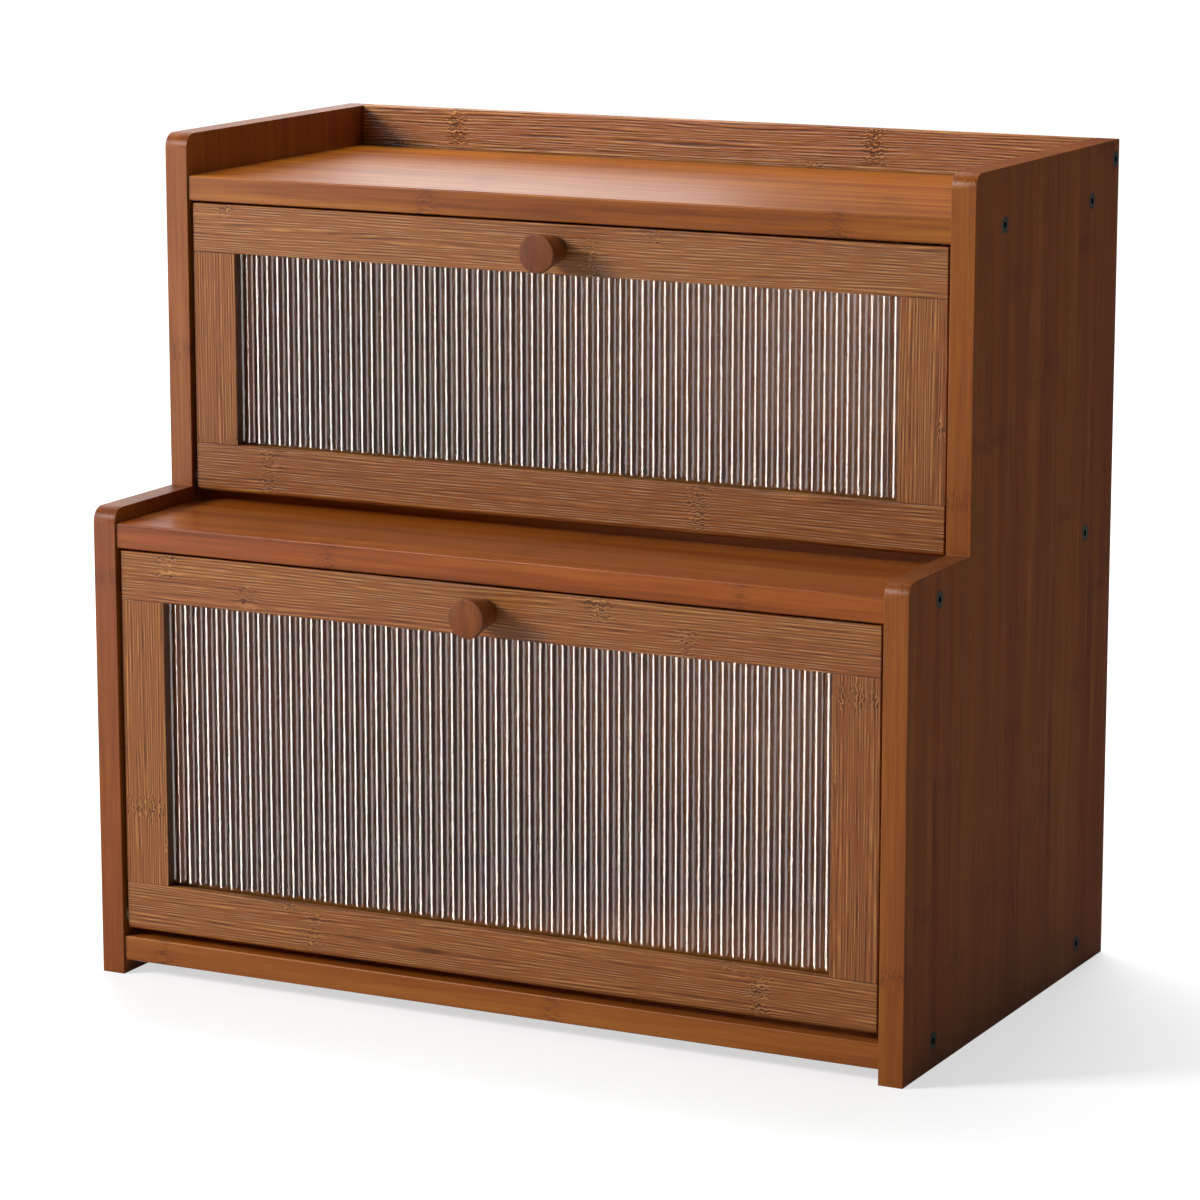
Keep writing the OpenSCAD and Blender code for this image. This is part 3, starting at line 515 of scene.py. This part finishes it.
for pointing, fade in sides.items():
    facing = add("VectorMath", {0: towards, 1: pointing}, operation="DOT_PRODUCT").outputs["Value"]
    wall.append(add("MapRange", {"Value": facing, "From Max": fade}, interpolation_type="SMOOTHSTEP"))
wall = add("Math", {0: wall[0], 1: wall[1]}, operation="MULTIPLY")
wall = add("Mix", {0: wall, 2: studio["roomFront"], 3: 1.0})
level = add("Mix", {0: mirrored, 2: studio["ambient"], 3: wall})
level = add("Mix", {0: inside, 2: level, 3: studio["roomFront"]})
level = add("Mix", {0: seen, 2: level, 3: 1.0})
white = linearColour("#ffffff")
room = add("Background", {"Color": white, "Strength": level})
add("OutputWorld", {0: room})

side = studio["floorSize"] / 2
floorMesh = bpy.data.meshes.new("floor")
corners = [(-side, -side, 0), (side, -side, 0), (side, side, 0), (-side, side, 0)]
floorMesh.from_pydata(corners, [], [(0, 1, 2, 3)])
floor = bpy.data.objects.new("floor", floorMesh)
bpy.context.scene.collection.objects.link(floor)
material, add = newMaterial("paintedFloor")
seen, mirrored, inside = backgroundRays(add)
outward = add("TexCoord").outputs["Object"]
outward = add("VectorMath", {0: outward}, operation="LENGTH").outputs["Value"]
glowing = add("MapRange", {"Value": outward, "From Min": studio["glowFrom"], "From Max": studio["glowTo"],
                           "To Min": studio["glowNear"], "To Max": studio["glowFar"]},
              interpolation_type="SMOOTHSTEP")
paint = add("BsdfDiffuse", {"Color": linearColour(studio["floorColour"])})
dimmed = add("BsdfDiffuse", {"Color": [studio["floorSeen"]] * 3 + [1.0]})
glow = add("Emission", {"Color": white, "Strength": glowing})
lit = add("AddShader", {0: dimmed, 1: glow})
dim = add("Emission", {"Color": white, "Strength": studio["roomFront"]})
mixed = add("MixShader", {0: inside, 1: paint, 2: dim})
mixed = add("MixShader", {0: seen, 1: mixed, 2: lit})
add("OutputMaterial", {0: mixed})
floorMesh.materials.append(material)
material.cycles.emission_sampling = "NONE"


def softbox(name, azimuth, elevation, distance, width, height, power, target=(0, 0, 0.2)):
    # A rectangular lamp, azimuth degrees to the right of straight in front and elevation up, aimed at target
    a, e = math.radians(azimuth), math.radians(elevation)
    away = np.array([math.sin(a) * math.cos(e), -math.cos(a) * math.cos(e), math.sin(e)])
    lamp = bpy.data.objects.new(name, bpy.data.lights.new(name, "AREA"))
    lamp.data.shape = "RECTANGLE"
    lamp.data.size = width
    lamp.data.size_y = height
    lamp.data.energy = power
    lamp.location = np.array(target) + away * distance
    lamp.rotation_euler = (math.radians(90) - e, 0, a)
    lamp.visible_camera = False
    lamp.visible_transmission = False
    bpy.context.scene.collection.objects.link(lamp)
    return lamp


# Three lamps light the panes alone, so that each rib shows its lines of light, and the others light the
# rest. matt: it lights matt surfaces; mirrored: it shows in glossy ones.
panesOnly = bpy.data.collections.new("panesOnly")
notPanes = bpy.data.collections.new("notPanes")
for door in doorKnots:
    pane = bpy.data.objects[door + "_reeded_pane"]
    panesOnly.objects.link(pane)
    notPanes.objects.link(pane)
for entry in notPanes.collection_objects:
    entry.light_linking.link_state = "EXCLUDE"
lamps = {
    "keyLamp": {"azimuth": -52, "elevation": 26, "distance": 3.8, "size": (0.9, 1.1), "watts": 157,
                "colour": "#ffffff", "matt": True, "mirrored": False, "receivers": notPanes},
    "topLamp": {"azimuth": 205, "elevation": 62, "distance": 2.2, "size": (1.4, 1.2), "watts": 64,
                "colour": "#ffffff", "matt": True, "mirrored": False, "receivers": notPanes},
    "backLamp": {"azimuth": 209, "elevation": 24, "distance": 1.2, "size": (0.28, 0.35), "watts": 0.42,
                 "colour": "#ffffff", "matt": False, "mirrored": True, "receivers": notPanes},
    "sheenLamp": {"azimuth": -51, "elevation": 12, "distance": 1.25, "size": (0.8, 1.2), "watts": 5.0,
                  "colour": "#ffffff", "matt": False, "mirrored": True, "receivers": notPanes},
    "edgeLamp": {"azimuth": -30, "elevation": 32, "distance": 2.5, "size": (1.4, 0.8), "watts": 26,
                 "colour": "#ffffff", "matt": False, "mirrored": True, "receivers": notPanes},
    "lineLamp": {"azimuth": -38, "elevation": -10, "distance": 4.0, "size": (2.1, 2.6), "watts": 390,
                 "colour": "#fff4e6", "matt": False, "mirrored": True, "receivers": panesOnly},
    "sideLineLamp": {"azimuth": 54, "elevation": -10, "distance": 4.0, "size": (2.6, 2.6), "watts": 140,
                     "colour": "#fff0e8", "matt": False, "mirrored": True, "receivers": panesOnly},
    "roomLamp": {"azimuth": 0, "elevation": -5, "distance": 5.0, "size": (14.0, 6.0), "watts": 100,
                 "colour": "#ffffff", "matt": False, "mirrored": True, "receivers": panesOnly},
}
for name, s in lamps.items():
    lamp = softbox(name, s["azimuth"], s["elevation"], s["distance"], *s["size"], s["watts"])
    lamp.data.color = linearColour(s["colour"])[:3]
    lamp.visible_diffuse = s["matt"]
    lamp.visible_glossy = s["mirrored"]
    lamp.light_linking.receiver_collection = s["receivers"]
floor.visible_glossy = False
floor.visible_shadow = False

# The photo's viewpoint: half right, a little above
view = {"place": (0.9533, -1.88975, 0.6088), "turn": 26.743, "down": 11.412, "lens": 135.23}
camera = bpy.data.objects.new("camera", bpy.data.cameras.new("camera"))
camera.location = view["place"]
camera.rotation_euler = (math.radians(90 - view["down"]), 0, math.radians(view["turn"]))
camera.data.sensor_width = 36
camera.data.lens = view["lens"]
bpy.context.scene.collection.objects.link(camera)
bpy.context.scene.camera = camera
bpy.context.scene.view_settings.view_transform = "Standard"
print("studio and camera set")
